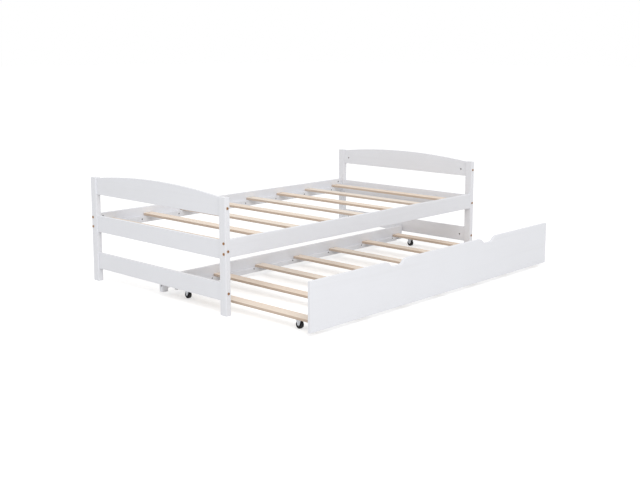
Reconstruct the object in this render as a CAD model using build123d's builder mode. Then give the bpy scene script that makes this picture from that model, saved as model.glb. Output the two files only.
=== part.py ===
from build123d import *
import os

# A trundle bed: a single bed on four square posts, with a lower bed on wheels that rolls out from under it.
# Millimetres. +X runs from the foot board to the head board, -Y is the side that the trundle comes out of,
# and the floor is Z = 0. The origin is on the floor, in the middle of the bed with its trundle pulled out.

# Whole bed
overall_length = 2000.0
overall_width = 1078.0
pull_out = 518.0

# Posts
post_thick = 30.0
post_wide = 44.0
post_height = 560.0
post_bevel = 2.0

# End boards: three rails between two posts, the top one arched
end_rail_thick = 15.0
top_rail_bottom = 470.0
top_rail_drop = 2.0
arch_rise = 30.0
middle_rail_bottom = 268.0
middle_rail_height = 88.0
lower_rail_bottom = 68.0
lower_rail_height = 88.0
rail_bevel = 1.5

# Side rails, set a step above the middle rails, and the ledgers along their inner faces
side_rail_step = 8.0
side_rail_height = 87.0
side_rail_thick = 18.0
side_rail_setback = 3.0
ledger_lift = 6.0
ledger_height = 34.0
ledger_depth = 20.0
ledger_end_gap = 38.0
ledger_bevel = 1.0

# Slats, the same board in the bed and in the trundle
slat_wide = 62.0
slat_thick = 14.0
slat_bevel = 2.0
slat_end_gap = 1.0
bed_slat_count = 8
bed_slat_inset = 65.0
trundle_slat_count = 7
trundle_slat_inset = 66.0

# Trundle front panel, with two hand notches in its top edge
panel_lap = 7.0
panel_bottom = 20.0
panel_height = 230.0
panel_thick = 16.0
panel_bevel = 1.5
notch_spacing = 768.0
notch_wide = 160.0
notch_depth = 26.5
notch_sweep = 60.0

# Trundle back rail, its two short posts, and the ledgers under the trundle's slats
trundle_side_gap = 4.0
trundle_depth = 1040.0
back_rail_bottom = 38.0
back_rail_height = 67.0
back_rail_thick = 18.0
back_post_long = 35.0
back_post_wide = 26.0
back_post_drop = 18.0
trundle_ledger_height = 25.0
trundle_ledger_depth = 18.0
trundle_ledger_end_gap = 76.0

# Fixed casters under the two end slats of the trundle
caster_height = 47.0
caster_inset = 121.0
wheel_diameter = 38.0
wheel_wide = 16.0
wheel_side_gap = 0.5
axle_diameter = 6.0
axle_running_gap = 0.05
axle_head_diameter = 10.0
axle_head_thick = 1.5
bracket_steel = 2.0
bracket_plate_long = 58.0
bracket_plate_wide = 46.0
bracket_plate_corner = 5.0
bracket_leg_top = 31.0
bracket_leg_tip = 7.0

# Connector bolts with barrel nuts, and dowels that stop the end rails turning
bolt_diameter = 6.0
bolt_head_diameter = 13.0
bolt_head_height = 3.0
bolt_past_nut = 3.0
bolt_hole_gap = 0.25
nut_diameter = 10.0
nut_length = 12.0
nut_gap = 0.1
thread_gap = 0.05
end_nut_inset = 38.0
end_bolt_drop = 4.5
side_nut_inset = 27.0
side_bolt_spread = 50.0
side_bolt_rise = 8.5
dowel_diameter = 8.0
dowel_length = 36.0
dowel_gap = 0.1
dowel_offset = 26.0

# Wood screws, whose countersunk heads stand a hair proud
screw_diameter = 4.0
screw_head_diameter = 8.0
screw_head_height = 2.5
screw_proud = 0.3
slat_screw_length = 32.0
ledger_screw_length = 29.0
ledger_screw_offset = 55.0
post_screw_length = 72.0
post_screw_spread = 36.0
caster_screw_length = 13.0
caster_screw_reach = 21.0
caster_screw_head_height = 2.0

# Fasteners and their holes are drawn with flat sides, to keep so many small round pieces light
head_sides = 12
shank_sides = 8
thread_sides = 6

# Places that follow from the sizes above
bed_y = (pull_out - bolt_head_height) / 2
post_x = (overall_length - post_thick) / 2
post_y = (overall_width - post_wide) / 2
inner_length = overall_length - 2 * post_thick
inner_width = overall_width - 2 * post_wide
side_rail_bottom = middle_rail_bottom + side_rail_step
side_rail_y = overall_width / 2 - side_rail_setback - side_rail_thick / 2
side_inner_y = side_rail_y - side_rail_thick / 2
ledger_top = side_rail_bottom + ledger_lift + ledger_height
bed_ledger_length = inner_length - 2 * ledger_end_gap

panel_front_y = bed_y - overall_width / 2 - pull_out
panel_back_y = panel_front_y + panel_thick
panel_length = inner_length + 2 * panel_lap
panel_top = panel_bottom + panel_height
back_inner_y = panel_front_y + trundle_depth
back_rail_y = back_inner_y + back_rail_thick / 2
back_rail_z = back_rail_bottom + back_rail_height / 2
trundle_length = inner_length - 2 * trundle_side_gap
back_rail_length = trundle_length - 2 * back_post_long
trundle_ledger_length = trundle_length - 2 * trundle_ledger_end_gap
wheel_radius = wheel_diameter / 2

# End rails by name, each with its bottom edge and its height at the posts
end_rails = {
    "top_rail": (top_rail_bottom, post_height - top_rail_drop - top_rail_bottom),
    "middle_rail": (middle_rail_bottom, middle_rail_height),
    "lower_rail": (lower_rail_bottom, lower_rail_height),
}
end_bolt_heights = [bottom + height / 2 - end_bolt_drop for bottom, height in end_rails.values()]
dowel_heights = [z - dowel_offset for z in end_bolt_heights]
side_bolt_middle = middle_rail_bottom + middle_rail_height / 2 + side_bolt_rise
side_bolt_heights = [side_bolt_middle - side_bolt_spread / 2, side_bolt_middle + side_bolt_spread / 2]

ends = {"foot": -1, "head": 1}
sides = {"front": -1, "rear": 1}
corners = [(end, side) for end in ends.values() for side in sides.values()]


def spread(count, inset, length):
    """Evenly spaced X places over a length, the first and last standing in from its ends."""
    pitch = (length - 2 * inset) / (count - 1)
    return [inset - length / 2 + pitch * step for step in range(count)]


bed_slat_places = spread(bed_slat_count, bed_slat_inset, inner_length)
trundle_slat_places = spread(trundle_slat_count, trundle_slat_inset, trundle_length)
caster_places = {"foot": trundle_slat_places[0], "head": trundle_slat_places[-1]}


def save(piece, name):
    """Label a finished sub-part and write it to its own file."""
    piece.part.label = name
    export_step(piece.part, f"parts/{name}.step")


def set_out(shape, places, name):
    """Save copies of one shape, standing at the given planes, as one group."""
    with BuildPart() as group:
        with Locations(*places):
            add(shape)
    save(group, name)


def rod(diameter, length, sides_round=shank_sides):
    """A straight rod that hangs down from the origin. Cut from a board, it is a hole."""
    with BuildPart() as straight:
        with BuildSketch():
            RegularPolygon(diameter / 2, sides_round)
        extrude(amount=-length)
    return straight.part


os.makedirs("parts", exist_ok=True)

dowel_hole = rod(dowel_diameter + 2 * dowel_gap, dowel_length / 2 + dowel_gap)


# Posts, drilled for the end-rail bolts, the side-rail bolts and the dowels
def make_post(end, side):
    x = end * post_x
    outer_x = end * overall_length / 2
    rail_y = bed_y + side * side_rail_y
    outer_y = bed_y + side * overall_width / 2
    inner_y = bed_y + side * inner_width / 2
    with BuildPart() as post:
        with Locations((x, bed_y + side * post_y, 0)):
            Box(post_thick, post_wide, post_height, align=(Align.CENTER, Align.CENTER, Align.MIN))
        chamfer(post.edges().filter_by(Axis.Z), post_bevel)
        chamfer(post.faces().sort_by(Axis.Z)[-1].edges(), post_bevel / 2)
        with Locations(*[Plane((x, outer_y, z), z_dir=(0, side, 0)) for z in end_bolt_heights]):
            add(rod(bolt_diameter + 2 * bolt_hole_gap, post_wide), mode=Mode.SUBTRACT)
        with Locations(*[Plane((outer_x, rail_y, z), z_dir=(end, 0, 0)) for z in side_bolt_heights]):
            add(rod(bolt_diameter + 2 * bolt_hole_gap, post_thick), mode=Mode.SUBTRACT)
        with Locations(*[Plane((x, inner_y, z), z_dir=(0, -side, 0)) for z in dowel_heights]):
            add(dowel_hole, mode=Mode.SUBTRACT)
    return post


for end_name, end in ends.items():
    for side_name, side in sides.items():
        save(make_post(end, side), f"{end_name}_{side_name}_post")


# End-board rails: a plain board, or one with an arched top edge
def make_end_rail(end, bottom, height, rise):
    x = end * post_x
    half = inner_width / 2
    bolt_z = bottom + height / 2 - end_bolt_drop
    bolt_bore = rod(bolt_diameter + 2 * bolt_hole_gap, end_nut_inset + bolt_past_nut + bolt_hole_gap)
    nut_bore = rod(nut_diameter + 2 * nut_gap, (end_rail_thick + nut_length) / 2 + nut_gap)
    with BuildPart() as rail:
        with BuildSketch(Plane((x, bed_y, bottom), x_dir=(0, 1, 0), z_dir=(1, 0, 0))):
            with BuildLine():
                outline = Polyline((-half, height), (-half, 0), (half, 0), (half, height))
                if rise:
                    ThreePointArc(outline @ 1, (0, height + rise), outline @ 0)
                else:
                    Line(outline @ 1, outline @ 0)
            make_face()
        extrude(amount=end_rail_thick / 2, both=True)
        chamfer(rail.edges().filter_by(lambda edge: edge.length > half), rail_bevel)
        for side in sides.values():
            end_y = bed_y + side * half
            nut_y = end_y - side * end_nut_inset
            with Locations(Plane((x, end_y, bolt_z), z_dir=(0, side, 0))):
                add(bolt_bore, mode=Mode.SUBTRACT)
            with Locations(Plane((x, end_y, bolt_z - dowel_offset), z_dir=(0, side, 0))):
                add(dowel_hole, mode=Mode.SUBTRACT)
            with Locations(Plane((x - end * end_rail_thick / 2, nut_y, bolt_z), z_dir=(-end, 0, 0))):
                add(nut_bore, mode=Mode.SUBTRACT)
    return rail


for end_name, end in ends.items():
    for rail_name, (bottom, height) in end_rails.items():
        rise = arch_rise if rail_name == "top_rail" else 0
        save(make_end_rail(end, bottom, height, rise), f"{end_name}_{rail_name}")


# Side rails, with a pair of bolts and cross-drilled nuts at each end
def make_side_rail(side):
    y = bed_y + side * side_rail_y
    inner_y = bed_y + side * side_inner_y
    bolt_bore = rod(bolt_diameter + 2 * bolt_hole_gap, side_nut_inset + bolt_past_nut + bolt_hole_gap)
    nut_bore = rod(nut_diameter + 2 * nut_gap, (side_rail_thick + nut_length) / 2 + nut_gap)
    with BuildPart() as rail:
        with Locations((0, y, side_rail_bottom + side_rail_height / 2)):
            Box(inner_length, side_rail_thick, side_rail_height)
        chamfer(rail.edges().filter_by(Axis.X), rail_bevel)
        for end in ends.values():
            end_x = end * inner_length / 2
            nut_x = end_x - end * side_nut_inset
            with Locations(*[Plane((end_x, y, z), z_dir=(end, 0, 0)) for z in side_bolt_heights]):
                add(bolt_bore, mode=Mode.SUBTRACT)
            with Locations(*[Plane((nut_x, inner_y, z), z_dir=(0, -side, 0)) for z in side_bolt_heights]):
                add(nut_bore, mode=Mode.SUBTRACT)
    return rail


for side_name, side in sides.items():
    save(make_side_rail(side), f"{side_name}_side_rail")


# Ledgers and slats: the slats lie across the bed on a ledger at each end
def make_ledger(y, top, length, depth, height):
    with BuildPart() as ledger:
        with Locations((0, y, top)):
            Box(length, depth, height, align=(Align.CENTER, Align.CENTER, Align.MAX))
        chamfer(ledger.edges().filter_by(Axis.X), ledger_bevel)
    return ledger


def make_slat(x, front_y, rear_y, bottom):
    with BuildPart() as slat:
        with Locations((x, (front_y + rear_y) / 2, bottom)):
            Box(slat_wide, rear_y - front_y, slat_thick, align=(Align.CENTER, Align.CENTER, Align.MIN))
        chamfer(slat.edges().filter_by(Axis.Y), slat_bevel)
    return slat


bed_ledger_y = {name: bed_y + side * (side_inner_y - ledger_depth / 2) for name, side in sides.items()}
for side_name, y in bed_ledger_y.items():
    save(make_ledger(y, ledger_top, bed_ledger_length, ledger_depth, ledger_height), f"{side_name}_ledger")

bed_slat_reach = side_inner_y - slat_end_gap
for number, x in enumerate(bed_slat_places, start=1):
    save(make_slat(x, bed_y - bed_slat_reach, bed_y + bed_slat_reach, ledger_top), f"bed_slat_{number}")


# Fasteners: each is drawn once, its head up and its seat on the origin, then set out in a group
def make_bolt(length):
    with BuildPart() as bolt:
        add(rod(bolt_diameter, length, thread_sides))
        with BuildSketch():
            RegularPolygon(bolt_head_diameter / 2, head_sides)
        extrude(amount=bolt_head_height)
    return bolt.part


def make_nut():
    """A barrel nut, centred on the origin, with its thread across it."""
    with BuildPart() as nut:
        with Locations((0, 0, nut_length / 2)):
            add(rod(nut_diameter, nut_length))
        with Locations(Plane((nut_diameter / 2, 0, 0), x_dir=(0, 1, 0), z_dir=(1, 0, 0))):
            add(rod(bolt_diameter + 2 * thread_gap, nut_diameter, thread_sides), mode=Mode.SUBTRACT)
    return nut.part


def make_screw(length):
    """A countersunk wood screw, the flat of its head on the origin."""
    with BuildPart() as screw:
        with BuildSketch():
            RegularPolygon(screw_head_diameter / 2, thread_sides)
        with BuildSketch(Plane.XY.offset(-screw_head_height)):
            RegularPolygon(screw_diameter / 2, thread_sides)
        loft()
        with Locations((0, 0, -screw_head_height)):
            add(rod(screw_diameter, length - screw_head_height, thread_sides))
    return screw.part


end_bolt_places = []
end_nut_places = []
dowel_places = []
side_bolt_places = []
side_nut_places = []
for end, side in corners:
    rail_end_y = bed_y + side * inner_width / 2
    for z in end_bolt_heights:
        nut_y = rail_end_y - side * end_nut_inset
        end_bolt_places.append(Plane((end * post_x, bed_y + side * overall_width / 2, z), z_dir=(0, side, 0)))
        end_nut_places.append(Plane((end * post_x, nut_y, z), x_dir=(0, 1, 0), z_dir=(1, 0, 0)))
    for z in dowel_heights:
        dowel_places.append(Plane((end * post_x, rail_end_y + dowel_length / 2, z), z_dir=(0, 1, 0)))
    for z in side_bolt_heights:
        nut_x = end * (inner_length / 2 - side_nut_inset)
        rail_y = bed_y + side * side_rail_y
        side_bolt_places.append(Plane((end * overall_length / 2, rail_y, z), z_dir=(end, 0, 0)))
        side_nut_places.append(Plane((nut_x, rail_y, z), x_dir=(1, 0, 0), z_dir=(0, 1, 0)))
set_out(make_bolt(post_wide + end_nut_inset + bolt_past_nut), end_bolt_places, "end_rail_bolts")
set_out(make_nut(), end_nut_places, "end_rail_nuts")
set_out(rod(dowel_diameter, dowel_length), dowel_places, "dowels")
set_out(make_bolt(post_thick + side_nut_inset + bolt_past_nut), side_bolt_places, "side_rail_bolts")
set_out(make_nut(), side_nut_places, "side_rail_nuts")

slat_screw = make_screw(slat_screw_length)
ledger_screw = make_screw(ledger_screw_length)

bed_slat_screw_z = ledger_top + slat_thick + screw_proud
bed_slat_screw_places = []
for x in bed_slat_places:
    for y in bed_ledger_y.values():
        bed_slat_screw_places.append(Plane((x, y, bed_slat_screw_z)))
set_out(slat_screw, bed_slat_screw_places, "bed_slat_screws")

bed_ledger_screw_places = []
for x in bed_slat_places[1:]:
    for side in sides.values():
        head_y = bed_y + side * (side_inner_y - ledger_depth - screw_proud)
        head = (x - ledger_screw_offset, head_y, ledger_top - ledger_height / 2)
        bed_ledger_screw_places.append(Plane(head, z_dir=(0, -side, 0)))
set_out(ledger_screw, bed_ledger_screw_places, "bed_ledger_screws")


# Trundle front panel: a board with two hand notches, each a flat with an S-curve at both ends
with BuildPart() as trundle_front_panel:
    with BuildSketch(Plane((0, panel_back_y, panel_top), x_dir=(1, 0, 0), z_dir=(0, -1, 0))):
        Rectangle(panel_length, panel_height, align=(Align.CENTER, Align.MAX))
        with BuildLine(mode=Mode.PRIVATE) as notch_line:
            lip_end = ((notch_sweep - notch_wide) / 2, -notch_depth / 2)
            lip = TangentArc((-notch_wide / 2, 0), lip_end, tangent=(1, 0))
            heel = TangentArc(lip @ 1, (notch_sweep - notch_wide / 2, -notch_depth), tangent=lip % 1)
            Line(heel @ 1, (0, -notch_depth))
            mirror(about=Plane.YZ)
            Line(lip @ 0, (notch_wide / 2, 0))
        with GridLocations(notch_spacing, 0, 2, 1):
            add(make_face(notch_line.edges(), mode=Mode.PRIVATE), mode=Mode.SUBTRACT)
    extrude(amount=panel_thick)
    chamfer(trundle_front_panel.faces().sort_by(Axis.Y)[0].edges(), panel_bevel)
save(trundle_front_panel, "trundle_front_panel")


# Trundle back rail, and the short posts at its ends
with BuildPart() as trundle_back_rail:
    with Locations((0, back_rail_y, back_rail_z)):
        Box(back_rail_length, back_rail_thick, back_rail_height)
    chamfer(trundle_back_rail.edges().filter_by(Axis.X), rail_bevel)
save(trundle_back_rail, "trundle_back_rail")

for end_name, end in ends.items():
    back_post_x = end * (trundle_length - back_post_long) / 2
    with BuildPart() as back_post:
        with Locations((back_post_x, back_inner_y, back_rail_bottom - back_post_drop)):
            Box(
                back_post_long,
                back_post_wide,
                back_rail_height + back_post_drop,
                align=(Align.CENTER, Align.MIN, Align.MIN),
            )
        chamfer(back_post.edges().filter_by(Axis.Z), rail_bevel)
    save(back_post, f"trundle_{end_name}_post")


# Trundle ledgers and slats
trundle_ledger_y = {
    "front": panel_back_y + trundle_ledger_depth / 2,
    "back": back_inner_y - trundle_ledger_depth / 2,
}
for side_name, y in trundle_ledger_y.items():
    ledger = make_ledger(y, caster_height, trundle_ledger_length, trundle_ledger_depth, trundle_ledger_height)
    save(ledger, f"trundle_{side_name}_ledger")

for number, x in enumerate(trundle_slat_places, start=1):
    slat = make_slat(x, panel_back_y + slat_end_gap, back_inner_y - slat_end_gap, caster_height)
    save(slat, f"trundle_slat_{number}")


# Trundle screws: slats to ledgers, ledgers to panel and rail, rail to posts
end_slat_edge = trundle_slat_places[-1] - slat_wide / 2
bearing_middle = (end_slat_edge + trundle_ledger_length / 2) / 2
trundle_slat_screw_places = []
for x in trundle_slat_places:
    screw_x = max(-bearing_middle, min(bearing_middle, x))
    for y in trundle_ledger_y.values():
        trundle_slat_screw_places.append(Plane((screw_x, y, caster_height + slat_thick + screw_proud)))
set_out(slat_screw, trundle_slat_screw_places, "trundle_slat_screws")

ledger_screw_z = (back_rail_bottom + caster_height) / 2
ledger_face = trundle_ledger_depth + screw_proud
trundle_ledger_screw_places = []
for x in trundle_slat_places[1:]:
    screw_x = x - ledger_screw_offset
    front_head = (screw_x, panel_back_y + ledger_face, ledger_screw_z)
    back_head = (screw_x, back_inner_y - ledger_face, ledger_screw_z)
    trundle_ledger_screw_places.append(Plane(front_head, z_dir=(0, 1, 0)))
    trundle_ledger_screw_places.append(Plane(back_head, z_dir=(0, -1, 0)))
set_out(ledger_screw, trundle_ledger_screw_places, "trundle_ledger_screws")

trundle_post_screw_places = []
for end in ends.values():
    head_x = end * (trundle_length / 2 + screw_proud)
    for z in (back_rail_z - post_screw_spread / 2, back_rail_z + post_screw_spread / 2):
        trundle_post_screw_places.append(Plane((head_x, back_rail_y, z), z_dir=(end, 0, 0)))
set_out(make_screw(post_screw_length), trundle_post_screw_places, "trundle_post_screws")


# Casters: a pressed steel bracket with two tapered legs, a riveted axle, and a wheel on it
leg_inside = wheel_wide / 2 + wheel_side_gap
plate_bottom = caster_height - bracket_steel


def make_bracket(x, y):
    axle_hole = axle_diameter / 2 + axle_running_gap
    leg_height = plate_bottom - wheel_radius
    with BuildPart() as bracket:
        with BuildSketch(Plane((x, y, plate_bottom))) as plate:
            Rectangle(bracket_plate_wide, bracket_plate_long)
            chamfer(plate.vertices(), bracket_plate_corner)
            with GridLocations(0, 2 * caster_screw_reach, 1, 2):
                RegularPolygon(screw_diameter / 2 + bolt_hole_gap, shank_sides, mode=Mode.SUBTRACT)
        extrude(amount=bracket_steel)
        for side in (-1, 1):
            leg_face = Plane((x + side * leg_inside, y, wheel_radius), x_dir=(0, side, 0), z_dir=(side, 0, 0))
            with BuildSketch(leg_face):
                RegularPolygon(bracket_leg_tip, head_sides)
                with BuildLine():
                    Line((-bracket_leg_top / 2, leg_height), (bracket_leg_top / 2, leg_height))
                make_hull()
                RegularPolygon(axle_hole, shank_sides, major_radius=False, mode=Mode.SUBTRACT)
            extrude(amount=bracket_steel)
    return bracket


def make_axle(x, y):
    grip = leg_inside + bracket_steel
    with BuildPart() as axle:
        with Locations(Plane((x, y, wheel_radius), z_dir=(1, 0, 0))):
            Cylinder(axle_diameter / 2, 2 * grip)
        for side in (-1, 1):
            with BuildSketch(Plane((x + side * grip, y, wheel_radius), z_dir=(side, 0, 0))):
                RegularPolygon(axle_head_diameter / 2, head_sides)
            extrude(amount=axle_head_thick)
    return axle


def make_wheel(x, y):
    with BuildPart() as wheel:
        with BuildSketch(Plane((x, y, wheel_radius), z_dir=(1, 0, 0))):
            Circle(wheel_radius)
            Circle(axle_diameter / 2 + axle_running_gap, mode=Mode.SUBTRACT)
        extrude(amount=wheel_wide / 2, both=True)
    return wheel


caster_rows = {"front": panel_back_y + slat_end_gap + caster_inset, "back": back_inner_y - caster_inset}
caster_screw_places = []
for end_name, x in caster_places.items():
    for row_name, y in caster_rows.items():
        save(make_bracket(x, y), f"{end_name}_{row_name}_caster_bracket")
        save(make_axle(x, y), f"{end_name}_{row_name}_caster_axle")
        save(make_wheel(x, y), f"{end_name}_{row_name}_wheel")
        for reach in (-caster_screw_reach, caster_screw_reach):
            caster_screw_places.append(Plane((x, y + reach, plate_bottom), z_dir=(0, 0, -1)))

with BuildPart() as caster_screw:
    add(rod(screw_diameter, caster_screw_length, thread_sides))
    with BuildSketch():
        RegularPolygon(screw_head_diameter / 2, thread_sides)
    extrude(amount=caster_screw_head_height)
set_out(caster_screw.part, caster_screw_places, "caster_screws")
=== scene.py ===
import math
import random

import bmesh
import bpy
from mathutils import Matrix, Vector


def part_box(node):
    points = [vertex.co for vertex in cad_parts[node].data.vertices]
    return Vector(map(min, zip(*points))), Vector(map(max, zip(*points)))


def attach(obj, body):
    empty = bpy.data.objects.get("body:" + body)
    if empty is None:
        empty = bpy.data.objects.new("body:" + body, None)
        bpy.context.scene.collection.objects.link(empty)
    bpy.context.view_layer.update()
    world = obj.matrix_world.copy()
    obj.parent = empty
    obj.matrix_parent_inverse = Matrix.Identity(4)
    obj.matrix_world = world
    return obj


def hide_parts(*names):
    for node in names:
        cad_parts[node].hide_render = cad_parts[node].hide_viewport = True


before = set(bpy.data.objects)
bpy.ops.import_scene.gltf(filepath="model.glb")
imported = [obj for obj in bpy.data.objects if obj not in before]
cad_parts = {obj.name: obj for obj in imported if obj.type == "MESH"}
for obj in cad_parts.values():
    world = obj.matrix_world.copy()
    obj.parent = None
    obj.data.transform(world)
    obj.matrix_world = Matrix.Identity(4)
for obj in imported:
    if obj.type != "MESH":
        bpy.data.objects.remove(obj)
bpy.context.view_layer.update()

# Looks for a white wooden bed with a pull-out trundle. Metres, +Z up, +X from foot board to head board.
MM = 0.001
chance = random.Random(7)

END_NAMES = ("foot", "head")
SIDE_NAMES = ("front", "rear")
CASTER_ROWS = ("front", "back")
BED_SLATS = [f"bed_slat_{number}" for number in range(1, 9)]
TRUNDLE_SLATS = [f"trundle_slat_{number}" for number in range(1, 8)]

# Edges of the boards, as a sander leaves them
POST_ROUND = 3.4 * MM
RAIL_ROUND = 2.2 * MM
SLAT_ROUND = 3.2 * MM
LEDGER_ROUND = 1.2 * MM
END_ROUND = 0.6 * MM
ROUND_STEPS = 4
FINE_STEPS = 2
SHARP_ANGLE = math.radians(40)

# When two directions (by the cosine between them) or two points count as the same
SAME_LINE = 0.99
SAME_WAY = 0.999
TOUCH = 0.001 * MM

# Forms that a box doesn't give: the arch of the top rails and the hand notches of the front panel
ARCH_RISE = 30 * MM
ARCH_STEPS = 56
NOTCH_SPACING = 768 * MM
NOTCH_WIDE = 160 * MM
NOTCH_DEPTH = 26.5 * MM
NOTCH_SWEEP = 60 * MM
NOTCH_STEPS = 14

# Fasteners
BOLT_HEAD_RADIUS = 6.5 * MM
BOLT_HEAD_HEIGHT = 3.0 * MM
BOLT_RADIUS = 3.0 * MM
BOLT_SOCKET_RADIUS = 3.0 * MM
BOLT_SOCKET_DEPTH = 2.5 * MM
BOLT_TIP = 0.6 * MM
BOLT_SEAT_EDGE = 0.3 * MM
BOLT_FLAT = 0.7 * MM
NUT_RADIUS = 5.0 * MM
NUT_HOLE_RADIUS = 5.1 * MM
NUT_HOLE_DEPTH = 13.6 * MM
NUT_SLOT_WIDE = 1.6 * MM
NUT_SLOT_DEPTH = 1.8 * MM
NUT_SLOT_MARGIN = 1.1 * MM
NUT_EDGE = 0.5 * MM
SCREW_HEAD_RADIUS = 4.0 * MM
SCREW_RADIUS = 2.0 * MM
SCREW_HEAD_HEIGHT = 2.5 * MM
SCREW_POINT = 3 * SCREW_RADIUS
PAN_HEAD_HEIGHT = 2.0 * MM
CROSS_REACH = 2.3 * MM
CROSS_HALF = 0.45 * MM
CROSS_DEPTH = 1.4 * MM
CROSS_MARGIN = 0.5 * MM
PAN_CROSS_MARGIN = 0.4 * MM
ROUND_SEGMENTS = 40

# Drilled holes: the eased mouth, and the square patch of face that is cut out round it. The patch's half
# width is in hole radii, its inset is a share of that, and the cuts are along each of its sides.
HOLE_MOUTH = 0.3 * MM
PATCH_REACH = 1.6
PATCH_INSET = 0.2
PATCH_CUTS = 7

# Rounded rims of turned pieces, point by point in millimetres: in from the rim, then down from the top.
# The hub's points are measured from its bore, and lie outwards of it.
BOLT_DOME = ((0, 1.0), (0.25, 0.45), (0.8, 0.12), (1.8, 0))
SCREW_RIM = ((0.1, 0.3), (0, 0.15), (0.15, 0))
PAN_DOME = ((0, 2.0), (0.2, 1.2), (0.8, 0.4))
RIVET_DOME = ((0, 1.5), (0.1, 1.0), (0.9, 0.5), (2.6, 0.1))
WHEEL_RIM = ((5.0, 2.4), (4.6, 0.9), (4.1, 0.4), (1.4, 0.3), (0.6, 0.7), (0.2, 1.5), (0.03, 3.0), (0, 5.6))
WHEEL_HUB = ((0, 0), (-4.0, 0), (-4.5, 0.3), (-5.0, 2.4))

# Casters
WHEEL_SEGMENTS = 72
AXLE_RADIUS = 3.0 * MM
AXLE_HEAD_RADIUS = 5.0 * MM
AXLE_HEAD_HEIGHT = 1.5 * MM
BRACKET_STEEL = 2.0 * MM
BRACKET_LEG_TOP = 31 * MM
BRACKET_LEG_TIP = 7 * MM
BRACKET_CORNER = 7 * MM
BRACKET_CORNER_STEPS = 6
BRACKET_EDGE = 0.5 * MM
BRACKET_SHARP = math.radians(60)
WHEEL_PLAY = 0.05 * MM
WHEEL_GAP = 0.5 * MM

# Camera, fitted to the photograph
CAMERA_PLACE = (-3.8912, -3.5934, 1.2305)
CAMERA_YAW = math.radians(46.80)
CAMERA_PITCH = math.radians(8.83)
CAMERA_SENSOR = 36.0
CAMERA_LENS = 969.5 / 640 * CAMERA_SENSOR
CAMERA_SHIFT = -40 / 640
CAMERA_REACH = 200.0

# Colours of paint, bare wood and plastic, as red, green and blue
PAINT_DIM = (0.788, 0.794, 0.826)
PAINT_WHITE = (0.796, 0.803, 0.836)
PAINT_GRAIN = (0.745, 0.748, 0.772)
WOOD_WARM = (0.865, 0.735, 0.62)
WOOD_PALE = (0.865, 0.79, 0.71)
WOOD_LATE = (0.70, 0.53, 0.37)
WOOD_FIBRE = (0.70, 0.54, 0.39)
# Painted shade: the darker brown that the side faces of bare wood are drawn towards, standing in for the
# lesser light on them
WOOD_SIDE_PAINTED_SHADE = (0.48, 0.352, 0.262)
WOOD_KNOT = (0.22, 0.105, 0.045)
PLASTIC_BLACK = (0.008, 0.008, 0.009)
PLASTIC_WORN = (0.04, 0.04, 0.043)

# The sockets of a Mix node that mixes colours, by number, because their names repeat
MIX_SHARE = 0
MIX_FIRST = 6
MIX_SECOND = 7
MIX_RESULT = 2


class Wire:
    """A socket of a shader's node tree. Sums written with it add Math nodes."""

    def __init__(self, nodes, socket):
        self.nodes = nodes
        self.socket = socket

    def maths(self, operation, first, second):
        inputs = {0: first, 1: second}
        return self.nodes.node("ShaderNodeMath", {"operation": operation}, inputs)

    def __add__(self, other):
        return self.maths("ADD", self, other)

    def __radd__(self, other):
        return self.maths("ADD", other, self)

    def __sub__(self, other):
        return self.maths("SUBTRACT", self, other)

    def __rsub__(self, other):
        return self.maths("SUBTRACT", other, self)

    def __mul__(self, other):
        return self.maths("MULTIPLY", self, other)

    def __rmul__(self, other):
        return self.maths("MULTIPLY", other, self)

    def fraction(self):
        return self.nodes.node("ShaderNodeMath", {"operation": "FRACT"}, {0: self})

    def ease(self, low, high):
        """0 below low, 1 above high, and a smooth step between them."""
        inputs = {"Value": self, "From Min": low, "From Max": high}
        return self.nodes.node("ShaderNodeMapRange", {"interpolation_type": "SMOOTHSTEP"}, inputs)


class Nodes:
    """A shader and the nodes that feed it."""

    def __init__(self, tree, shader):
        self.tree = tree
        self.shader = tree.nodes[shader]

    def node(self, kind, settings, inputs, output=0):
        """Add a node, its settings first, then the values or links of its sockets. Gives one output."""
        made = self.tree.nodes.new(kind)
        for key, value in settings.items():
            setattr(made, key, value)
        for key, value in inputs.items():
            if isinstance(value, Wire):
                self.tree.links.new(value.socket, made.inputs[key])
            else:
                made.inputs[key].default_value = value
        return Wire(self, made.outputs[output])

    def place(self, scale=(1, 1, 1), offset=(0, 0, 0)):
        """Object coordinates, stretched by a scale along each axis."""
        coordinates = self.node("ShaderNodeTexCoord", {}, {}, "Object")
        inputs = {"Vector": coordinates, "Scale": scale, "Location": offset}
        return self.node("ShaderNodeMapping", {}, inputs)

    def facing(self, axis):
        """How squarely a surface faces along one axis, to either side: 0 to 1."""
        normal = self.node("ShaderNodeTexCoord", {}, {}, "Normal")
        part = self.node("ShaderNodeSeparateXYZ", {}, {0: normal}, axis)
        return self.node("ShaderNodeMath", {"operation": "ABSOLUTE"}, {0: part})

    def noise(self, scale, vector, detail):
        inputs = {"Vector": vector, "Scale": scale, "Detail": detail}
        return self.node("ShaderNodeTexNoise", {}, inputs, "Fac")

    def mix(self, share, first, second):
        """A colour between two colours, each a wire or its red, green and blue."""
        first, second = [color if isinstance(color, Wire) else (*color, 1.0) for color in (first, second)]
        inputs = {MIX_SHARE: share, MIX_FIRST: first, MIX_SECOND: second}
        return self.node("ShaderNodeMix", {"data_type": "RGBA"}, inputs, MIX_RESULT)

    def seen(self):
        """1 for a ray that sees a surface, straight or in a reflection, 0 for one that carries its light."""
        kinds = ("Is Camera Ray", "Is Glossy Ray", "Is Transmission Ray")
        camera, glossy, through = [self.node("ShaderNodeLightPath", {}, {}, kind) for kind in kinds]
        return camera.maths("MAXIMUM", camera, glossy.maths("MAXIMUM", glossy, through))

    def feed(self, socket, wire):
        self.tree.links.new(wire.socket, self.shader.inputs[socket])


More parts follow.
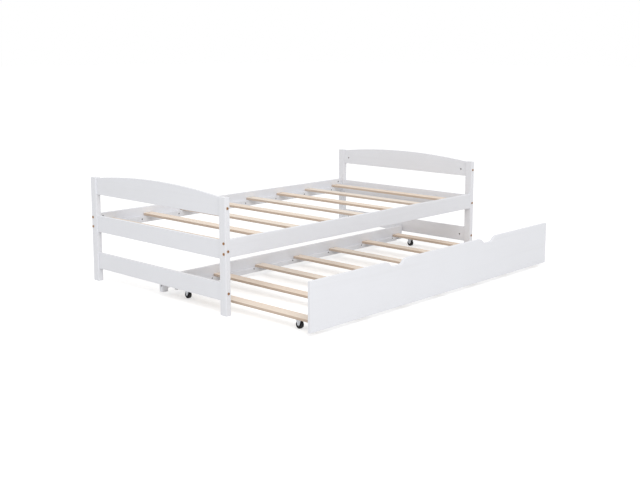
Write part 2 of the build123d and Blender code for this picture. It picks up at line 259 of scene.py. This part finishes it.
class Finish(Nodes):
    """One material: a Principled shader and the nodes that feed it."""

    def __init__(self, name, **constants):
        self.material = bpy.data.materials.new(name)
        self.material.use_nodes = True
        super().__init__(self.material.node_tree, "Principled BSDF")
        for socket, value in constants.items():
            self.shader.inputs[socket.replace("_", " ")].default_value = value

    def bump(self, height, distance, strength):
        inputs = {"Height": height, "Distance": distance, "Strength": strength}
        self.feed("Normal", self.node("ShaderNodeBump", {}, inputs))


def stretched(direction, along, across):
    """A scale that is small along one axis, so that a pattern runs out into fibres."""
    return tuple(along if axis == direction else across for axis in range(3))


def painted_wood(name, direction):
    """Sprayed satin white: the grain stands through faintly, under the fine peel of the paint."""
    finish = Finish(name, Coat_Weight=0.12, Coat_Roughness=0.25)
    fibres = finish.noise(1.0, finish.place(stretched(direction, 5, 420)), 4.0)
    figure = finish.noise(1.0, finish.place(stretched(direction, 1.2, 38)), 3.0)
    peel = finish.noise(900.0, finish.place(), 2.0)
    cloud = finish.noise(5.0, finish.place(), 2.0)
    tone = finish.mix(cloud.ease(0.3, 0.7), PAINT_DIM, PAINT_WHITE)
    finish.feed("Base Color", finish.mix(figure.ease(0.5, 0.8) * 0.35, tone, PAINT_GRAIN))
    finish.feed("Roughness", 0.38 + fibres * 0.14 + cloud * 0.04)
    finish.bump(fibres * 0.6 + figure * 0.6 + peel * 0.2, 0.16 * MM, 0.6)
    return finish.material


def bare_wood(name, direction):
    """Planed faces and painted shade on the side faces: yearly rings drawn out along the wood, fine fibres,
    some knots.
    """
    finish = Finish(name, Specular_IOR_Level=0.35)
    across = 1 - direction
    knots = finish.node(
        "ShaderNodeTexVoronoi",
        {"feature": "F1"},
        {"Vector": finish.place(stretched(direction, 2.4, 5.2), (0.37, 0.21, 0.0)), "Scale": 1.0},
        "Distance",
    )
    knot = 1 - knots.ease(0.035, 0.075)
    swirl = 1 - knots.ease(0.0, 0.34)
    wander = finish.noise(1.0, finish.place(stretched(direction, 1.1, 9)), 2.0)
    axes = finish.node("ShaderNodeSeparateXYZ", {}, {0: finish.place()}, across)
    rings = (axes * 85 + wander * 9 + swirl * 2.4).fraction()
    late = rings.ease(0.25, 0.93) * (1 - rings.ease(0.93, 1.0))
    fibres = finish.noise(1.0, finish.place(stretched(direction, 9, 620)), 3.0)
    board = finish.noise(1.0, finish.place(stretched(direction, 0.35, 7.0)), 1.0)
    pale = finish.mix(board.ease(0.35, 0.65), WOOD_WARM, WOOD_PALE)
    banded = finish.mix(late * 0.4, pale, WOOD_LATE)
    streaked = finish.mix(fibres.ease(0.5, 0.8) * 0.25, banded, WOOD_FIBRE)
    # Painted shade: faces that look along the across axis, the sides of slats and dowels, are darkened to
    # stand in for the lesser light that falls on them
    side_painted_shade = finish.mix(finish.facing(across).ease(0.5, 0.9) * 0.7, streaked, WOOD_SIDE_PAINTED_SHADE)
    finish.feed("Base Color", finish.mix(knot * 0.85, side_painted_shade, WOOD_KNOT))
    finish.feed("Roughness", 0.5 + fibres * 0.16 - late * 0.08)
    finish.bump(fibres * 0.6 + late * 0.5 + knot * 0.5, 0.15 * MM, 0.6)
    return finish.material


def turned_metal(name, color, dull, roughness, mottle):
    """Plated steel: a mottled plating and fine scratches."""
    finish = Finish(name, Metallic=1.0)
    spots = finish.noise(mottle, finish.place(), 3.0)
    scratches = finish.noise(1.0, finish.place((2600, 2600, 300)), 2.0)
    finish.feed("Base Color", finish.mix(spots.ease(0.35, 0.75), color, dull))
    finish.feed("Roughness", roughness + spots * 0.14 + scratches * 0.1)
    finish.bump(scratches * 0.4 + spots * 0.3, 0.04 * MM, 0.5)
    return finish.material


def moulded_plastic(name):
    """Black moulded plastic, scuffed a little in patches all over."""
    finish = Finish(name, Specular_IOR_Level=0.3)
    grain = finish.noise(2200.0, finish.place(), 2.0)
    scuffs = finish.noise(160.0, finish.place(), 4.0)
    worn = scuffs.ease(0.52, 0.8) * 0.4
    finish.feed("Base Color", finish.mix(worn, PLASTIC_BLACK, PLASTIC_WORN))
    finish.feed("Roughness", 0.36 + scuffs * 0.22 + grain * 0.06)
    finish.bump(grain * 0.4 + scuffs * 0.3, 0.05 * MM, 0.5)
    return finish.material


PAINT = {axis: painted_wood(f"white_paint_{'xyz'[axis]}", axis) for axis in range(3)}
PINE = bare_wood("slat_pine", 1)
BEECH = bare_wood("dowel_beech", 1)
BRONZE = turned_metal("bronze_plate", (0.46, 0.26, 0.135), (0.24, 0.135, 0.072), 0.32, 700.0)
ZINC = turned_metal("zinc_plate", (0.50, 0.515, 0.54), (0.38, 0.39, 0.41), 0.28, 350.0)
NUT_STEEL = turned_metal("nut_steel", (0.20, 0.19, 0.18), (0.10, 0.095, 0.09), 0.4, 500.0)
PHOSPHATE = turned_metal("dark_plate", (0.075, 0.068, 0.062), (0.035, 0.032, 0.03), 0.42, 900.0)
PLASTIC = moulded_plastic("wheel_plastic")


def keep(bm, name, body, material, node):
    """Turn a finished bmesh into a piece that rides on a body and stands for a CAD node."""
    mesh = bpy.data.meshes.new(name)
    bm.to_mesh(mesh)
    bm.free()
    mesh.shade_smooth()
    mesh.set_sharp_from_angle(angle=SHARP_ANGLE)
    mesh.materials.append(material)
    piece = bpy.data.objects.new(name, mesh)
    bpy.context.scene.collection.objects.link(piece)
    even = piece.modifiers.new("even_normals", "WEIGHTED_NORMAL")
    even.keep_sharp = True
    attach(piece, body)
    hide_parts(node)


def bevel(bm, edges, width, steps):
    bmesh.ops.bevel(
        bm,
        geom=list(edges),
        offset=width,
        offset_type="OFFSET",
        affect="EDGES",
        segments=steps,
        profile=0.5,
        material=-1,
        clamp_overlap=True,
    )


def runs_along(edge, axis):
    step = (edge.verts[1].co - edge.verts[0].co).normalized()
    return abs(step[axis]) > SAME_LINE


def verts_among(geometry):
    return [item for item in geometry if isinstance(item, bmesh.types.BMVert)]


def sweep(bm, vert, centre, axis, angle, steps):
    """Sweep a vertex about a centre into a line of edges. Gives the vertex at its end."""
    swept = bmesh.ops.spin(
        bm,
        geom=[vert],
        cent=centre,
        axis=axis,
        angle=angle,
        steps=steps,
        use_merge=False,
        use_duplicate=False,
    )
    return verts_among(swept["geom_last"])[0]


def thicken(bm, outline, push):
    """Fill a closed line of edges with a face and push it out into a solid."""
    face = bmesh.ops.contextual_create(bm, geom=outline)["faces"][0]
    pushed = bmesh.ops.extrude_face_region(bm, geom=[face])["geom"]
    bmesh.ops.translate(bm, vec=push, verts=verts_among(pushed))


def block(node):
    """A plain block in the place of a CAD node."""
    low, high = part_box(node)
    bm = bmesh.new()
    bmesh.ops.create_cube(bm, size=1.0)
    bmesh.ops.scale(bm, vec=high - low, verts=bm.verts)
    bmesh.ops.translate(bm, vec=(low + high) / 2, verts=bm.verts)
    return bm


def round_board(bm, axis, width):
    """Round the long edges of a block, and only break the edges of its sawn ends."""
    bevel(bm, [edge for edge in bm.edges if runs_along(edge, axis)], width, ROUND_STEPS)
    low = min(vert.co[axis] for vert in bm.verts)
    high = max(vert.co[axis] for vert in bm.verts)
    ends = [edge for edge in bm.edges if all(vert.co[axis] in (low, high) for vert in edge.verts)]
    ends = [edge for edge in ends if not runs_along(edge, axis)]
    bevel(bm, ends, END_ROUND, FINE_STEPS)


def face_at(bm, point, normal):
    """The face that a point lies on, which looks the given way."""
    for face in bm.faces:
        if face.normal.dot(normal) < SAME_WAY or abs((point - face.verts[0].co).dot(normal)) > TOUCH:
            continue
        if bmesh.geometry.intersect_face_point(face, point):
            return face
    return None


def drill(bm, point, normal, radius, depth):
    """Sink a round hole: cut a square patch out of the face, draw its middle to a circle, and push it in."""
    bm.normal_update()
    patch = radius * PATCH_REACH
    for axis in range(3):
        if abs(normal[axis]) > 0.5:
            continue
        for sign in (-1, 1):
            step = Vector((0, 0, 0))
            step[axis] = sign
            face = face_at(bm, point, normal)
            geometry = [face, *face.edges, *face.verts]
            bmesh.ops.bisect_plane(bm, geom=geometry, plane_co=point + step * patch, plane_no=step)
            bm.normal_update()
    face = face_at(bm, point, normal)
    bmesh.ops.subdivide_edges(bm, edges=list(face.edges), cuts=PATCH_CUTS)
    bm.normal_update()
    face = face_at(bm, point, normal)
    bmesh.ops.inset_region(bm, faces=[face], thickness=patch * PATCH_INSET, use_even_offset=True)
    for vert in face.verts:
        vert.co = point + (vert.co - point).normalized() * radius
    mouth = list(face.edges)
    walls = bmesh.ops.extrude_face_region(bm, geom=[face])["geom"]
    bmesh.ops.translate(bm, vec=-normal * depth, verts=verts_among(walls))
    if face.is_valid:
        bmesh.ops.delete(bm, geom=[face], context="FACES_ONLY")
    bevel(bm, [edge for edge in mouth if edge.is_valid], HOLE_MOUTH, FINE_STEPS)


def solid_boxes(node):
    """Lowest and highest corner of each separate solid of a CAD group."""
    bm = bmesh.new()
    bm.from_mesh(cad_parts[node].data)
    bmesh.ops.remove_doubles(bm, verts=bm.verts, dist=TOUCH)
    boxes = []
    left = set(bm.verts)
    while left:
        reached = {left.pop()}
        front = list(reached)
        while front:
            near = {edge.other_vert(vert) for vert in front for edge in vert.link_edges}
            front = list(near & left)
            left -= near
            reached |= near
        corners = [vert.co for vert in reached]
        low = Vector([min(corner[axis] for corner in corners) for axis in range(3)])
        high = Vector([max(corner[axis] for corner in corners) for axis in range(3)])
        boxes.append((low, high))
    bm.free()
    return sorted(boxes, key=lambda box: tuple(round(value, 5) for value in box[0]))


# Boards of the bed
def make_post(node):
    bm = block(node)
    round_board(bm, 2, POST_ROUND)
    keep(bm, f"{node}_board", "bed", PAINT[2], node)


def nut_mouths(node, group):
    """Where the barrel nuts of a rail come out on its inner face: the point and the way that face looks."""
    low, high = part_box(node)
    thin = min(range(3), key=lambda axis: (high - low)[axis])
    inward = Vector((0, 0, 0))
    inward[thin] = 1 if (low + high)[thin] / 2 < bed_middle[thin] else -1
    mouths = []
    for nut_low, nut_high in solid_boxes(group):
        middle = (nut_low + nut_high) / 2
        if all(low[axis] < middle[axis] < high[axis] for axis in range(3)):
            middle[thin] = high[thin] if inward[thin] > 0 else low[thin]
            mouths.append((middle, inward))
    return mouths


def make_rail(node, axis, group):
    bm = block(node)
    round_board(bm, axis, RAIL_ROUND)
    for point, inward in nut_mouths(node, group):
        drill(bm, point, inward, NUT_HOLE_RADIUS, NUT_HOLE_DEPTH)
    keep(bm, f"{node}_board", "bed", PAINT[axis], node)


def make_top_rail(node):
    """The arched rail: a board whose upper edge is swept by an arc from end to end."""
    low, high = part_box(node)
    half = (high.y - low.y) / 2
    middle = (low.y + high.y) / 2
    shoulder = high.z - ARCH_RISE
    radius = (half**2 + ARCH_RISE**2) / (2 * ARCH_RISE)
    turn = 2 * math.asin(half / radius)
    bm = bmesh.new()
    start = bm.verts.new((low.x, high.y, shoulder))
    last = sweep(bm, start, (low.x, middle, high.z - radius), (1, 0, 0), turn, ARCH_STEPS)
    near_foot = bm.verts.new((low.x, low.y, low.z))
    far_foot = bm.verts.new((low.x, high.y, low.z))
    bm.edges.new((last, near_foot))
    bm.edges.new((near_foot, far_foot))
    bm.edges.new((far_foot, start))
    thicken(bm, list(bm.edges), (high.x - low.x, 0, 0))
    bmesh.ops.recalc_face_normals(bm, faces=bm.faces)
    rim = [edge for edge in bm.edges if not runs_along(edge, 0) and not runs_along(edge, 2)]
    bevel(bm, rim, RAIL_ROUND, ROUND_STEPS)
    for point, inward in nut_mouths(node, "end_rail_nuts"):
        drill(bm, point, inward, NUT_HOLE_RADIUS, NUT_HOLE_DEPTH)
    keep(bm, f"{node}_board", "bed", PAINT[1], node)


def make_board(node, body, axis, width, material):
    bm = block(node)
    round_board(bm, axis, width)
    keep(bm, f"{node}_board", body, material, node)


corner_low, corner_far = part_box("foot_front_post")[0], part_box("head_rear_post")[1]
bed_middle = (corner_low + corner_far) / 2
for end in END_NAMES:
    for side in SIDE_NAMES:
        make_post(f"{end}_{side}_post")
    make_top_rail(f"{end}_top_rail")
    make_rail(f"{end}_middle_rail", 1, "end_rail_nuts")
    make_rail(f"{end}_lower_rail", 1, "end_rail_nuts")
for side in SIDE_NAMES:
    make_rail(f"{side}_side_rail", 0, "side_rail_nuts")
    make_board(f"{side}_ledger", "bed", 0, LEDGER_ROUND, PAINT[0])
for slat in BED_SLATS:
    make_board(slat, "bed", 1, SLAT_ROUND, PINE)


# Boards of the trundle
def make_front_panel(node):
    """A board with two hand notches: each end of a notch is an S of two arcs, swept from the top edge."""
    low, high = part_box(node)
    drop = NOTCH_DEPTH / 2
    run = NOTCH_SWEEP / 2
    radius = (run**2 + drop**2) / (2 * drop)
    turn = 2 * math.atan2(drop, run)
    bm = bmesh.new()
    outline = [bm.verts.new((low.x, low.y, high.z))]

    def line_to(x, z):
        vert = bm.verts.new((x, low.y, z))
        bm.edges.new((outline[-1], vert))
        outline.append(vert)

    def arc(centre_x, centre_z, angle):
        """Sweep on from the last point about a centre."""
        centre = (centre_x, low.y, centre_z)
        outline.append(sweep(bm, outline[-1], centre, (0, 1, 0), angle, NOTCH_STEPS))

    floor = high.z - NOTCH_DEPTH
    for middle in (-NOTCH_SPACING / 2, NOTCH_SPACING / 2):
        start = middle - NOTCH_WIDE / 2
        stop = middle + NOTCH_WIDE / 2
        line_to(start, high.z)
        arc(start, high.z - radius, turn)
        arc(start + NOTCH_SWEEP, floor + radius, -turn)
        line_to(stop - NOTCH_SWEEP, floor)
        arc(stop - NOTCH_SWEEP, floor + radius, -turn)
        arc(stop, high.z - radius, turn)
    line_to(high.x, high.z)
    line_to(high.x, low.z)
    line_to(low.x, low.z)
    bm.edges.new((outline[-1], outline[0]))
    thicken(bm, list(bm.edges), (0, high.y - low.y, 0))
    bmesh.ops.recalc_face_normals(bm, faces=bm.faces)
    rims = [edge for edge in bm.edges if not runs_along(edge, 1)]
    bevel(bm, rims, RAIL_ROUND, ROUND_STEPS)
    keep(bm, f"{node}_board", "trundle", PAINT[0], node)


make_front_panel("trundle_front_panel")
make_board("trundle_back_rail", "trundle", 0, RAIL_ROUND, PAINT[0])
for end in END_NAMES:
    make_board(f"trundle_{end}_post", "trundle", 2, RAIL_ROUND, PAINT[2])
for row in CASTER_ROWS:
    make_board(f"trundle_{row}_ledger", "trundle", 0, LEDGER_ROUND, PAINT[0])
for slat in TRUNDLE_SLATS:
    make_board(slat, "trundle", 1, SLAT_ROUND, PINE)


# Fasteners: each is turned once about Z, its head up and its top at the origin, then set out in a group
def turn_profile(profile, segments):
    """Spin a line of (radius, height) points about Z into a closed skin."""
    bm = bmesh.new()
    points = [bm.verts.new((radius, 0, height)) for radius, height in profile]
    line = [bm.edges.new(pair) for pair in zip(points, points[1:])]
    bmesh.ops.spin(
        bm,
        geom=points + line,
        cent=(0, 0, 0),
        axis=(0, 0, 1),
        angle=math.tau,
        steps=segments,
        use_merge=True,
        use_duplicate=False,
    )
    bmesh.ops.remove_doubles(bm, verts=bm.verts, dist=2 * TOUCH)
    bmesh.ops.recalc_face_normals(bm, faces=bm.faces)
    return bm


def sink_recess(bm, outline, depth):
    """Close the open top of a turned head with a face that holds a recess of the given outline."""
    rim = [edge for edge in bm.edges if edge.is_boundary]
    top = max(vert.co.z for edge in rim for vert in edge.verts)
    rim = [edge for edge in rim if all(abs(vert.co.z - top) < TOUCH for vert in edge.verts)]
    verts = [bm.verts.new((x, y, top)) for x, y in outline]
    mouth = [bm.edges.new(pair) for pair in zip(verts, verts[1:] + verts[:1])]
    bmesh.ops.triangle_fill(bm, edges=rim + mouth, use_beauty=True, use_dissolve=False)
    inside = [face for face in bm.faces if all(vert in verts for vert in face.verts)]
    bmesh.ops.delete(bm, geom=inside, context="FACES_ONLY")
    walls = bmesh.ops.extrude_edge_only(bm, edges=mouth)["geom"]
    low_verts = verts_among(walls)
    low_edges = [item for item in walls if isinstance(item, bmesh.types.BMEdge)]
    bmesh.ops.translate(bm, vec=(0, 0, -depth), verts=low_verts)
    floor_edges = [edge for edge in low_edges if all(vert in low_verts for vert in edge.verts)]
    bmesh.ops.contextual_create(bm, geom=floor_edges)
    bmesh.ops.recalc_face_normals(bm, faces=bm.faces)


def hexagon(radius):
    angles = [step * math.tau / 6 for step in range(6)]
    return [(radius * math.cos(angle), radius * math.sin(angle)) for angle in angles]


def rounded(rim, top, points):
    """The points of a rounded rim, set in from a radius and down from a height."""
    return [(rim - inset * MM, top - drop * MM) for inset, drop in points]


def cross(reach, half):
    """A plus sign, point by point round its outline."""
    quarter = [(reach, -half), (reach, half), (half, half)]
    points = []
    for step in range(4):
        turn = Matrix.Rotation(step * math.pi / 2, 2)
        points += [tuple(turn @ Vector(point)) for point in quarter]
    return points


def make_bolt(length):
    rim = BOLT_HEAD_RADIUS
    seat = -BOLT_HEAD_HEIGHT
    profile = [
        (0, -length),
        (BOLT_RADIUS - BOLT_TIP, -length),
        (BOLT_RADIUS, BOLT_TIP - length),
        (BOLT_RADIUS, seat),
        (rim - BOLT_SEAT_EDGE, seat),
        (rim, seat + BOLT_SEAT_EDGE),
        *rounded(rim, 0, BOLT_DOME),
        (BOLT_SOCKET_RADIUS + BOLT_FLAT, 0),
    ]
    bm = turn_profile(profile, ROUND_SEGMENTS)
    sink_recess(bm, hexagon(BOLT_SOCKET_RADIUS), BOLT_SOCKET_DEPTH)
    return bm


def make_nut(length):
    rim = NUT_RADIUS
    profile = [
        (0, -length),
        (rim - NUT_EDGE, -length),
        (rim, NUT_EDGE - length),
        (rim, -NUT_EDGE),
        (rim - NUT_EDGE, 0),
    ]
    bm = turn_profile(profile, ROUND_SEGMENTS)
    reach = rim - NUT_SLOT_MARGIN
    half = NUT_SLOT_WIDE / 2
    sink_recess(bm, [(-reach, -half), (reach, -half), (reach, half), (-reach, half)], NUT_SLOT_DEPTH)
    return bm


def make_screw(length):
    rim = SCREW_HEAD_RADIUS
    profile = [
        (0, -length),
        (SCREW_RADIUS, SCREW_POINT - length),
        (SCREW_RADIUS, -SCREW_HEAD_HEIGHT),
        *rounded(rim, 0, SCREW_RIM),
        (CROSS_REACH + CROSS_MARGIN, 0),
    ]
    bm = turn_profile(profile, ROUND_SEGMENTS)
    sink_recess(bm, cross(CROSS_REACH, CROSS_HALF), CROSS_DEPTH)
    return bm


def make_pan_screw(length):
    """A screw with a low domed head, which seats on steel."""
    rim = SCREW_HEAD_RADIUS
    profile = [
        (0, -length),
        (SCREW_RADIUS, SCREW_POINT - length),
        (SCREW_RADIUS, -PAN_HEAD_HEIGHT),
        *rounded(rim, 0, PAN_DOME),
        (CROSS_REACH + PAN_CROSS_MARGIN, 0),
    ]
    bm = turn_profile(profile, ROUND_SEGMENTS)
    sink_recess(bm, cross(CROSS_REACH, CROSS_HALF), CROSS_DEPTH)
    return bm


def set_out(node, body, material, make, facing):
    """Set copies of a fastener where a CAD group has its solids, each turned about its own axis by chance."""
    boxes = solid_boxes(node)
    first_low, first_high = boxes[0]
    axis = max(range(3), key=lambda at: (first_high - first_low)[at])
    shape = bpy.data.meshes.new(node)
    drawn = make((first_high - first_low)[axis])
    drawn.to_mesh(shape)
    drawn.free()
    group = bmesh.new()
    for low, high in boxes:
        middle = (low + high) / 2
        way = facing(middle)
        way = Vector([way[at] if at == axis else 0 for at in range(3)]).normalized()
        top = Vector([(high if way[at] > 0 else low)[at] if at == axis else middle[at] for at in range(3)])
        spin = Matrix.Rotation(chance.uniform(0, math.tau), 4, "Z")
        copy = shape.copy()
        copy.transform(Matrix.Translation(top) @ way.to_track_quat("Z", "Y").to_matrix().to_4x4() @ spin)
        group.from_mesh(copy)
        bpy.data.meshes.remove(copy)
    bpy.data.meshes.remove(shape)
    keep(group, f"{node}_turned", body, material, node)


trundle_low, trundle_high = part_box("trundle_front_panel")[0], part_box("trundle_back_rail")[1]
trundle_middle = (trundle_low + trundle_high) / 2


# The ways that heads look, from a fastener's own place
def upward(place):
    return Vector((0, 0, 1))


def downward(place):
    return Vector((0, 0, -1))


def outward(place):
    return place - bed_middle


def inward(place):
    return bed_middle - place


def to_trundle_middle(place):
    return trundle_middle - place


set_out("end_rail_bolts", "bed", BRONZE, make_bolt, outward)
set_out("side_rail_bolts", "bed", BRONZE, make_bolt, outward)
set_out("end_rail_nuts", "bed", NUT_STEEL, make_nut, inward)
set_out("side_rail_nuts", "bed", NUT_STEEL, make_nut, inward)
set_out("bed_slat_screws", "bed", ZINC, make_screw, upward)
set_out("bed_ledger_screws", "bed", PHOSPHATE, make_screw, inward)
set_out("trundle_slat_screws", "trundle", ZINC, make_screw, upward)
set_out("trundle_ledger_screws", "trundle", PHOSPHATE, make_screw, to_trundle_middle)
set_out("trundle_post_screws", "trundle", PHOSPHATE, make_screw, outward)
set_out("caster_screws", "trundle", ZINC, make_pan_screw, downward)


# Casters
def make_wheel(node):
    """A moulded wheel: a crowned tread with soft shoulders, and a dish between rim and hub."""
    low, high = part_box(node)
    middle = (low + high) / 2
    half = (high.x - low.x) / 2
    radius = (high.z - low.z) / 2
    bore = AXLE_RADIUS + WHEEL_PLAY
    side = rounded(bore, half, WHEEL_HUB) + rounded(radius, half, WHEEL_RIM)
    other = [(at, -height) for at, height in reversed(side)]
    bm = turn_profile(side + other + side[:1], WHEEL_SEGMENTS)
    bmesh.ops.rotate(bm, verts=bm.verts, cent=(0, 0, 0), matrix=Matrix.Rotation(math.pi / 2, 3, "Y"))
    bmesh.ops.translate(bm, verts=bm.verts, vec=middle)
    keep(bm, f"{node}_moulding", node, PLASTIC, node)


def make_axle(node):
    """A pin with a low dome riveted over at each end."""
    low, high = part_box(node)
    half = (high.x - low.x) / 2
    side = [
        (AXLE_RADIUS, half - AXLE_HEAD_HEIGHT),
        *rounded(AXLE_HEAD_RADIUS, half, RIVET_DOME),
        (0, half),
    ]
    other = [(at, -height) for at, height in reversed(side)]
    bm = turn_profile(other + side, ROUND_SEGMENTS)
    bmesh.ops.rotate(bm, verts=bm.verts, cent=(0, 0, 0), matrix=Matrix.Rotation(math.pi / 2, 3, "Y"))
    bmesh.ops.translate(bm, verts=bm.verts, vec=(low + high) / 2)
    keep(bm, f"{node}_rivet", "trundle", ZINC, node)


def make_leg(bm, inner_x, outer_x, middle_y, axle_z, top_z):
    """One tapered leg of a bracket, from a wide top down to a flat end just under the axle."""
    reach = top_z - axle_z
    top_half = BRACKET_LEG_TOP / 2
    lean = math.atan2(top_half, reach)
    tip_angle = lean + math.acos(BRACKET_LEG_TIP / math.hypot(top_half, reach))
    tip_half = BRACKET_LEG_TIP * math.sin(tip_angle)
    tip_z = axle_z + BRACKET_LEG_TIP * math.cos(tip_angle)
    outline = ((tip_half, tip_z), (-tip_half, tip_z), (-top_half, top_z), (top_half, top_z))
    corners = [bm.verts.new((inner_x, middle_y + across, z)) for across, z in outline]
    edges = [bm.edges.new(pair) for pair in zip(corners, corners[1:] + corners[:1])]
    thicken(bm, edges, (outer_x - inner_x, 0, 0))


def make_bracket(node, wheel):
    low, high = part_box(node)
    wheel_low, wheel_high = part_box(wheel)
    middle = (wheel_low + wheel_high) / 2
    inside = (wheel_high.x - wheel_low.x) / 2 + WHEEL_GAP
    plate_bottom = high.z - BRACKET_STEEL
    bm = bmesh.new()
    bmesh.ops.create_cube(bm, size=1.0)
    bmesh.ops.scale(bm, vec=(high.x - low.x, high.y - low.y, BRACKET_STEEL), verts=bm.verts)
    bmesh.ops.translate(bm, vec=(middle.x, middle.y, high.z - BRACKET_STEEL / 2), verts=bm.verts)
    bevel(bm, [edge for edge in bm.edges if runs_along(edge, 2)], BRACKET_CORNER, BRACKET_CORNER_STEPS)
    for sign in (-1, 1):
        inner_x = middle.x + sign * inside
        make_leg(bm, inner_x, inner_x + sign * BRACKET_STEEL, middle.y, middle.z, plate_bottom)
    bmesh.ops.recalc_face_normals(bm, faces=bm.faces)
    sharp = [edge for edge in bm.edges if edge.calc_face_angle(0) > BRACKET_SHARP]
    bevel(bm, sharp, BRACKET_EDGE, FINE_STEPS)
    keep(bm, f"{node}_pressing", "trundle", ZINC, node)


for end in END_NAMES:
    for row in CASTER_ROWS:
        corner = f"{end}_{row}"
        make_wheel(f"{corner}_wheel")
        make_axle(f"{corner}_caster_axle")
        make_bracket(f"{corner}_caster_bracket", f"{corner}_wheel")

dowel_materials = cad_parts["dowels"].data.materials
dowel_materials.clear()
dowel_materials.append(BEECH)


# Studio: a white floor that keeps the shadow, a white surround, and one large soft light over the near corner
FLOOR_SIZE = 120.0
FLOOR_COLOR = 0.76
FLOOR_LIFT = 0.46
SURROUND_LIGHT = 0.78
KEY_PLACE = (-3.6, -4.9, 6.0)
KEY_AIM = (0.0, 0.0, 0.2)
KEY_SIZE = 5.5
KEY_POWER = 260.0
BLACK = (0.0, 0.0, 0.0)
WHITE = (1.0, 1.0, 1.0)


def make_floor():
    bm = bmesh.new()
    bmesh.ops.create_grid(bm, x_segments=1, y_segments=1, size=FLOOR_SIZE / 2)
    mesh = bpy.data.meshes.new("floor")
    bm.to_mesh(mesh)
    bm.free()
    floor = bpy.data.objects.new("floor", mesh)
    bpy.context.scene.collection.objects.link(floor)
    paper = Finish(
        "studio_floor",
        Base_Color=(FLOOR_COLOR, FLOOR_COLOR, FLOOR_COLOR, 1.0),
        Roughness=1.0,
        Specular_IOR_Level=0.0,
        Emission_Strength=FLOOR_LIFT,
    )
    paper.feed("Emission Color", paper.mix(paper.seen(), BLACK, WHITE))
    mesh.materials.append(paper.material)


def make_surround():
    world = bpy.data.worlds.new("studio")
    bpy.context.scene.world = world
    world.use_nodes = True
    sky = Nodes(world.node_tree, "Background")
    sky.feed("Color", sky.mix(sky.seen(), (SURROUND_LIGHT,) * 3, WHITE))
    sky.shader.inputs["Strength"].default_value = 1.0


def make_key_light():
    lamp = bpy.data.lights.new("key", "AREA")
    lamp.shape = "DISK"
    lamp.size = KEY_SIZE
    lamp.energy = KEY_POWER
    holder = bpy.data.objects.new("key", lamp)
    holder.location = KEY_PLACE
    aim = Vector(KEY_AIM) - Vector(KEY_PLACE)
    holder.rotation_euler = aim.to_track_quat("-Z", "Y").to_euler()
    bpy.context.scene.collection.objects.link(holder)


def make_camera():
    camera = bpy.data.cameras.new("camera")
    camera.sensor_width = CAMERA_SENSOR
    camera.lens = CAMERA_LENS
    camera.shift_y = CAMERA_SHIFT
    camera.clip_end = CAMERA_REACH
    holder = bpy.data.objects.new("camera", camera)
    holder.location = CAMERA_PLACE
    holder.rotation_euler = (math.pi / 2 - CAMERA_PITCH, 0, -CAMERA_YAW)
    bpy.context.scene.collection.objects.link(holder)
    bpy.context.scene.camera = holder


make_floor()
make_surround()
make_key_light()
make_camera()
bpy.context.scene.view_settings.view_transform = "Standard"
